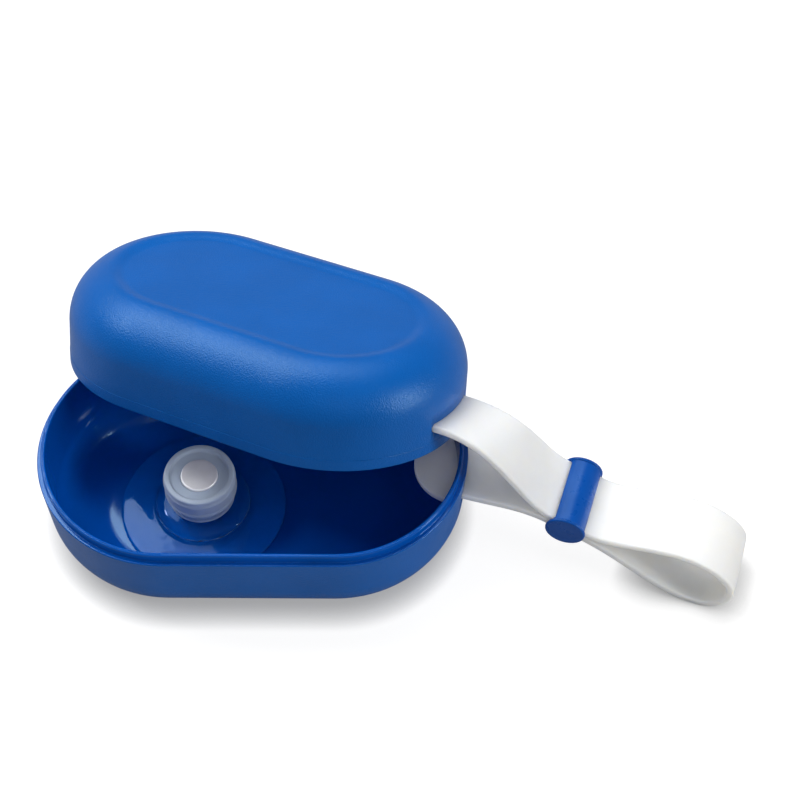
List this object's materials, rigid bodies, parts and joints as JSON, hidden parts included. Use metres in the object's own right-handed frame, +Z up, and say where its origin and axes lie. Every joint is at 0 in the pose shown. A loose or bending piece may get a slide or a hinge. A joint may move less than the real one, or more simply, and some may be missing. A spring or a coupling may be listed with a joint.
{
  "type": "travel soap box",
  "caption": "Oval two-part travel soap box, open, with a magnetic suction-cup soap holder inside and a flat strap with a slider joining lid and base.",
  "frame": {"origin": "centre of the base's flat foot, on the table", "axes": "+Z up, +X along the box towards the end where the strap comes out, -Y towards the front of the pictured view"},
  "size_m": [0.1997, 0.1136, 0.0689],
  "materials": {
    "shell_blue": "fine matte texture outside, glossy inside",
    "strap_white": "matte white silicone",
    "slider_blue": "satin",
    "cup_clear": "clear soft plastic",
    "knob_frosted": "frosted, half clear",
    "magnet_silver": "satin nickel plate"
  },
  "bodies": {
    "base": {"base_tub": "shell_blue", "strap": "strap_white"},
    "lid": {"lid_shell": "shell_blue"},
    "slider": {"strap_slider": "slider_blue"},
    "holder": {"suction_cup": "cup_clear", "knob": "knob_frosted", "magnet": "magnet_silver"}
  },
  "joints": [
    {"name": "lid_swing", "type": "hinge", "parent": "base", "child": "lid", "pos_m": [0.05535, 0.00236, 0.04564], "axis": [0.4706, 0.7933, -0.3862], "range_deg": [0, 95], "deforming": ["strap"]},
    {"name": "slider_slide", "type": "slide", "parent": "base", "child": "slider", "axis": [0.8843, -0.2788, -0.3746], "range_m": [0, 0.02], "deforming": ["strap"]},
    {"name": "holder_lift", "type": "slide", "parent": "base", "child": "holder", "axis": [0, 0, 1], "range_m": [0, 0.02]}
  ]
}
